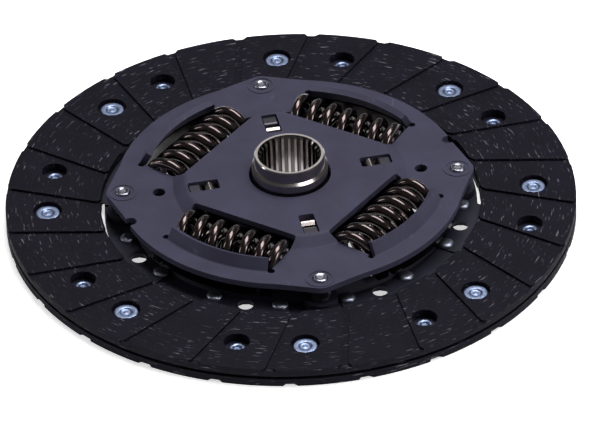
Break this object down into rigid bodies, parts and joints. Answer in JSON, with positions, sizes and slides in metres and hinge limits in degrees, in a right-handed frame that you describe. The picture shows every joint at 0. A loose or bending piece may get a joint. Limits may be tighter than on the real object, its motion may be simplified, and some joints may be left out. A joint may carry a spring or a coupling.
{
  "type": "clutch disc",
  "caption": "Dry clutch disc with grooved friction facings on waved cushion segments, a windowed cover plate, a coil-spring torsion damper and a splined hub.",
  "frame": {"origin": "on the disc's axis, in the plane of the flywheel-side friction face, on which the disc rests", "axes": "+Z along the disc's axis towards the gearbox, out of the hub's raised mouth; +X and +Y lie in the friction face, with the first stop pin near +X"},
  "size_m": [0.228, 0.228, 0.0293],
  "materials": {
    "friction_lining": "matte woven-free moulded lining, dark grey",
    "phosphated_plate": "matte phosphated steel, blue-grey",
    "segment_steel": "matte hardened spring steel, blue-black",
    "zinc_rivet": "satin zinc plating, bluish white",
    "bright_pin": "bright staked steel",
    "machined_hub": "bright turned and broached steel",
    "tempered_spring": "satin oil-tempered wire, dark brown",
    "grey_washer": "satin bare steel",
    "bright_washer": "bright spring steel",
    "friction_ring": "matte brown friction plastic"
  },
  "bodies": {
    "plates": {"facing_front": "friction_lining", "facing_rear": "friction_lining", "cushion_segment_1": "segment_steel", "cushion_segment_2": "segment_steel", "cushion_segment_3": "segment_steel", "cushion_segment_4": "segment_steel", "cushion_segment_5": "segment_steel", "cushion_segment_6": "segment_steel", "cushion_segment_7": "segment_steel", "cushion_segment_8": "segment_steel", "facing_rivets_front": "zinc_rivet", "facing_rivets_rear": "zinc_rivet", "segment_rivets": "zinc_rivet", "drive_plate": "phosphated_plate", "cover_plate": "phosphated_plate", "stop_pins": "bright_pin", "friction_bush_rear": "friction_ring", "friction_ring_front": "friction_ring", "support_washer": "grey_washer", "diaphragm_spring": "bright_washer"},
    "hub": {"splined_hub": "machined_hub"},
    "springs": {"spring_outer_1": "tempered_spring", "spring_outer_2": "tempered_spring", "spring_outer_3": "tempered_spring", "spring_outer_4": "tempered_spring", "spring_inner_1": "tempered_spring", "spring_inner_2": "tempered_spring"}
  },
  "joints": [
    {"name": "hub_torsion", "type": "hinge", "parent": "plates", "child": "hub", "pos_m": [0, 0, 0.01095], "axis": [0, 0, 1], "range_deg": [-16, 7.5], "stiffness_Nm_per_rad": 970},
    {"name": "springs_follow", "type": "hinge", "parent": "plates", "child": "springs", "pos_m": [0, 0, 0.01095], "axis": [0, 0, 1], "range_deg": [-8, 3.75], "deforming": ["spring_outer_1", "spring_outer_2", "spring_outer_3", "spring_outer_4", "spring_inner_1", "spring_inner_2"]}
  ],
  "couplings": [
    {"joint": "springs_follow", "follows": "hub_torsion", "ratio": 0.5}
  ]
}
